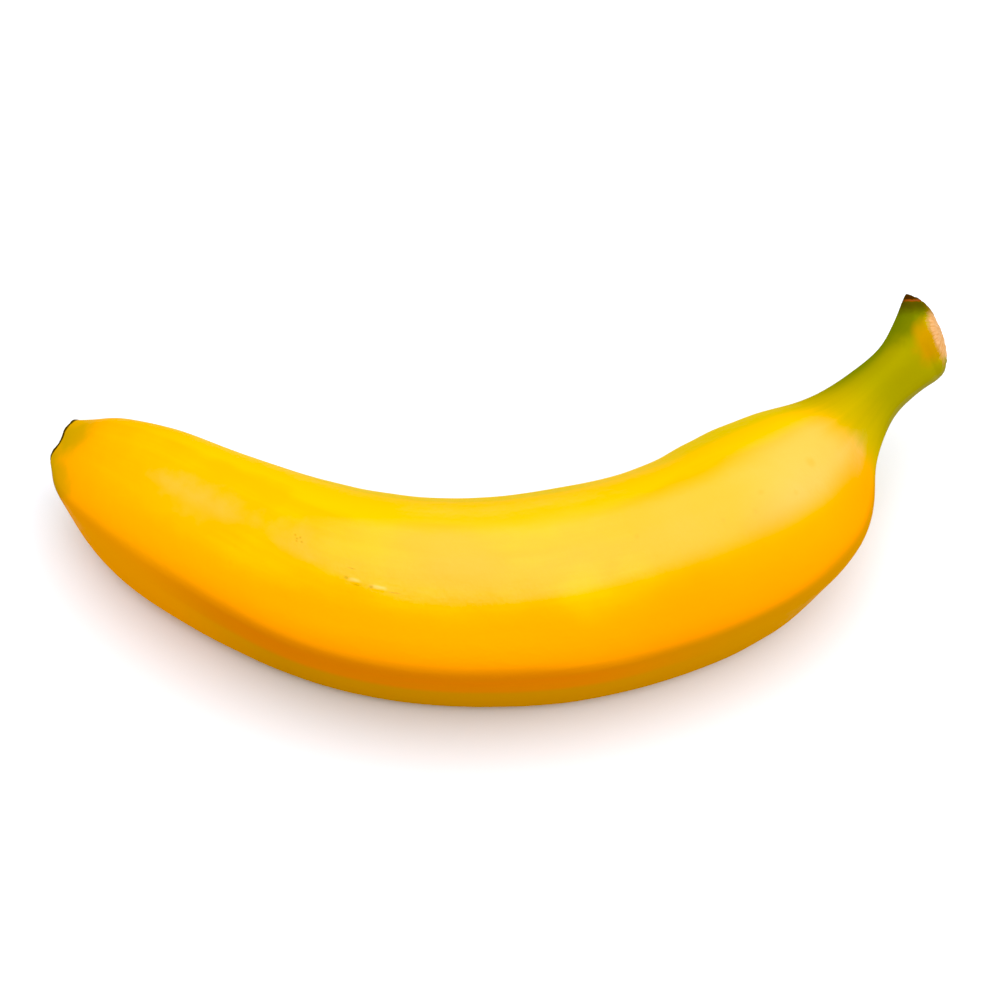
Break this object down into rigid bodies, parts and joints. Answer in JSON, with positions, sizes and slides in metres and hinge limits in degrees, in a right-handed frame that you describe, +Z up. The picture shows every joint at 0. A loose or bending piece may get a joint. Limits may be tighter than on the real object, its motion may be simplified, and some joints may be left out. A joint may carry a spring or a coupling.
{
  "type": "banana",
  "caption": "Whole ripe banana in its unpeeled yellow skin, curved, with ridged sides, a cut green-tinged stem and a dry blossom end, lying on its side.",
  "frame": {"origin": "on the floor, under the middle of the fruit's bounding box", "axes": "+Z up; +X from the blossom end to the stem, along the longest extent; +Y towards the hollow side of the bend, away from the viewer"},
  "size_m": [0.1644, 0.078, 0.0361],
  "materials": {
    "skin": "waxy, semi-gloss ripe yellow skin, olive green at the stem and brown at the blossom scar"
  },
  "bodies": {
    "root": {"banana": "skin"}
  },
  "joints": []
}
